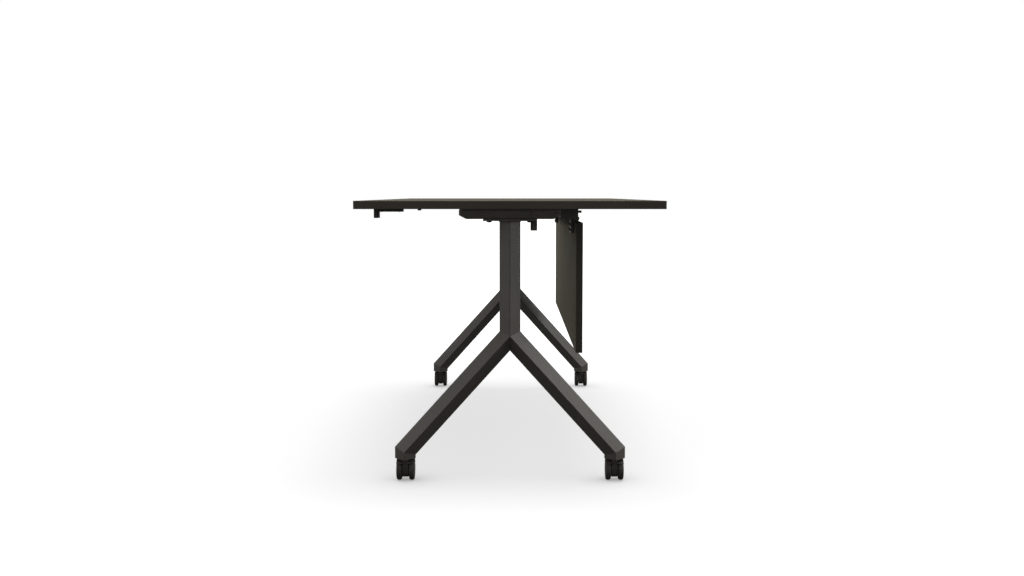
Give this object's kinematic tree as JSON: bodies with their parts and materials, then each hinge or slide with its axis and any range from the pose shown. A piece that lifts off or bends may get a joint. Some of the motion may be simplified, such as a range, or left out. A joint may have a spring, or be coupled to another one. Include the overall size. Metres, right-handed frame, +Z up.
{
  "type": "flip top training table",
  "caption": "Nesting training table: a thin rectangular top that tips up on wheeled Y-shaped legs, with a release lever and a hinged modesty panel.",
  "frame": {"origin": "on the floor under the middle of the top", "axes": "+X along the table, +Y away from the user towards the modesty panel, +Z up"},
  "size_m": [1.6, 0.8, 0.745],
  "materials": {
    "charcoal_laminate": "matt charcoal laminate on board",
    "edge_banding": "matt edging that matches the laminate",
    "powder_coated_steel": "fine dark grey powder coat",
    "black_pressed_steel": "black coated pressed steel",
    "zinc_plated_steel": "zinc plated",
    "black_nylon": "moulded, matt",
    "wheel_tread": "matt tread"
  },
  "bodies": {
    "frame": {"crossbar": "powder_coated_steel", "left_pivot_pin": "zinc_plated_steel", "left_catch_bar": "zinc_plated_steel", "left_post": "powder_coated_steel", "left_post_plate": "powder_coated_steel", "left_flip_channel": "black_pressed_steel", "left_front_leg": "powder_coated_steel", "left_front_foot": "powder_coated_steel", "left_front_caster_stem": "zinc_plated_steel", "left_rear_leg": "powder_coated_steel", "left_rear_foot": "powder_coated_steel", "left_rear_caster_stem": "zinc_plated_steel", "right_pivot_pin": "zinc_plated_steel", "right_catch_bar": "zinc_plated_steel", "right_post": "powder_coated_steel", "right_post_plate": "powder_coated_steel", "right_flip_channel": "black_pressed_steel", "right_front_leg": "powder_coated_steel", "right_front_foot": "powder_coated_steel", "right_front_caster_stem": "zinc_plated_steel", "right_rear_leg": "powder_coated_steel", "right_rear_foot": "powder_coated_steel", "right_rear_caster_stem": "zinc_plated_steel"},
    "tabletop": {"top_board": "charcoal_laminate", "edge_band": "edge_banding", "left_tilt_bracket": "black_pressed_steel", "left_hinge_base": "black_pressed_steel", "left_pull_guide": "black_nylon", "right_tilt_bracket": "black_pressed_steel", "right_hinge_base": "black_pressed_steel", "right_pull_guide": "black_nylon"},
    "release": {"release_shaft": "zinc_plated_steel", "release_spring": "zinc_plated_steel", "left_latch_hook": "zinc_plated_steel", "left_release_paddle": "black_nylon", "right_latch_hook": "zinc_plated_steel", "right_release_paddle": "black_nylon"},
    "left_pull": {"left_pull_tab": "black_nylon", "left_pull_rod": "zinc_plated_steel"},
    "right_pull": {"right_pull_tab": "black_nylon", "right_pull_rod": "zinc_plated_steel"},
    "panel": {"modesty_panel": "charcoal_laminate", "left_hinge_leaf": "black_pressed_steel", "right_hinge_leaf": "black_pressed_steel"},
    "left_front_caster": {"left_front_caster_body": "black_nylon", "left_front_caster_axle": "zinc_plated_steel"},
    "left_front_caster_front_wheel": {"left_front_caster_front_wheel": "wheel_tread"},
    "left_front_caster_rear_wheel": {"left_front_caster_rear_wheel": "wheel_tread"},
    "left_rear_caster": {"left_rear_caster_body": "black_nylon", "left_rear_caster_axle": "zinc_plated_steel"},
    "left_rear_caster_front_wheel": {"left_rear_caster_front_wheel": "wheel_tread"},
    "left_rear_caster_rear_wheel": {"left_rear_caster_rear_wheel": "wheel_tread"},
    "right_front_caster": {"right_front_caster_body": "black_nylon", "right_front_caster_axle": "zinc_plated_steel"},
    "right_front_caster_front_wheel": {"right_front_caster_front_wheel": "wheel_tread"},
    "right_front_caster_rear_wheel": {"right_front_caster_rear_wheel": "wheel_tread"},
    "right_rear_caster": {"right_rear_caster_body": "black_nylon", "right_rear_caster_axle": "zinc_plated_steel"},
    "right_rear_caster_front_wheel": {"right_rear_caster_front_wheel": "wheel_tread"},
    "right_rear_caster_rear_wheel": {"right_rear_caster_rear_wheel": "wheel_tread"}
  },
  "joints": [
    {"name": "top_flip", "type": "hinge", "parent": "frame", "child": "tabletop", "pos_m": [0, 0.1211, 0.7088], "axis": [-1, 0, 0], "range_deg": [0, 90]},
    {"name": "panel_swing", "type": "hinge", "parent": "tabletop", "child": "panel", "pos_m": [0, 0.184, 0.6948], "axis": [1, 0, 0], "range_deg": [0, 90]},
    {"name": "latch_release", "type": "hinge", "parent": "tabletop", "child": "release", "pos_m": [0, 0.0635, 0.7138], "axis": [1, 0, 0], "range_deg": [0, 35], "stiffness_Nm_per_rad": 0.6},
    {"name": "left_pull_slide", "type": "slide", "parent": "tabletop", "child": "left_pull", "axis": [0, -1, 0], "range_m": [0, 0.0082]},
    {"name": "left_front_caster_swivel", "type": "hinge", "parent": "frame", "child": "left_front_caster", "pos_m": [-0.725, -0.279, 0.05], "axis": [0, 0, 1], "continuous": true},
    {"name": "left_front_caster_front_wheel_roll", "type": "hinge", "parent": "left_front_caster", "child": "left_front_caster_front_wheel", "pos_m": [-0.735, -0.279, 0.0275], "axis": [0, 1, 0], "continuous": true},
    {"name": "left_front_caster_rear_wheel_roll", "type": "hinge", "parent": "left_front_caster", "child": "left_front_caster_rear_wheel", "pos_m": [-0.735, -0.279, 0.0275], "axis": [0, 1, 0], "continuous": true},
    {"name": "left_rear_caster_swivel", "type": "hinge", "parent": "frame", "child": "left_rear_caster", "pos_m": [-0.725, 0.279, 0.05], "axis": [0, 0, 1], "continuous": true},
    {"name": "left_rear_caster_front_wheel_roll", "type": "hinge", "parent": "left_rear_caster", "child": "left_rear_caster_front_wheel", "pos_m": [-0.735, 0.279, 0.0275], "axis": [0, 1, 0], "continuous": true},
    {"name": "left_rear_caster_rear_wheel_roll", "type": "hinge", "parent": "left_rear_caster", "child": "left_rear_caster_rear_wheel", "pos_m": [-0.735, 0.279, 0.0275], "axis": [0, 1, 0], "continuous": true},
    {"name": "right_pull_slide", "type": "slide", "parent": "tabletop", "child": "right_pull", "axis": [0, -1, 0], "range_m": [0, 0.0085]},
    {"name": "right_front_caster_swivel", "type": "hinge", "parent": "frame", "child": "right_front_caster", "pos_m": [0.725, -0.279, 0.05], "axis": [0, 0, 1], "continuous": true},
    {"name": "right_front_caster_front_wheel_roll", "type": "hinge", "parent": "right_front_caster", "child": "right_front_caster_front_wheel", "pos_m": [0.715, -0.279, 0.0275], "axis": [0, 1, 0], "continuous": true},
    {"name": "right_front_caster_rear_wheel_roll", "type": "hinge", "parent": "right_front_caster", "child": "right_front_caster_rear_wheel", "pos_m": [0.715, -0.279, 0.0275], "axis": [0, 1, 0], "continuous": true},
    {"name": "right_rear_caster_swivel", "type": "hinge", "parent": "frame", "child": "right_rear_caster", "pos_m": [0.725, 0.279, 0.05], "axis": [0, 0, 1], "continuous": true},
    {"name": "right_rear_caster_front_wheel_roll", "type": "hinge", "parent": "right_rear_caster", "child": "right_rear_caster_front_wheel", "pos_m": [0.715, 0.279, 0.0275], "axis": [0, 1, 0], "continuous": true},
    {"name": "right_rear_caster_rear_wheel_roll", "type": "hinge", "parent": "right_rear_caster", "child": "right_rear_caster_rear_wheel", "pos_m": [0.715, 0.279, 0.0275], "axis": [0, 1, 0], "continuous": true}
  ],
  "couplings": [
    {"joint": "latch_release", "follows": "left_pull_slide", "rad_per_m": 74.45},
    {"joint": "right_pull_slide", "follows": "left_pull_slide", "ratio": 1}
  ]
}
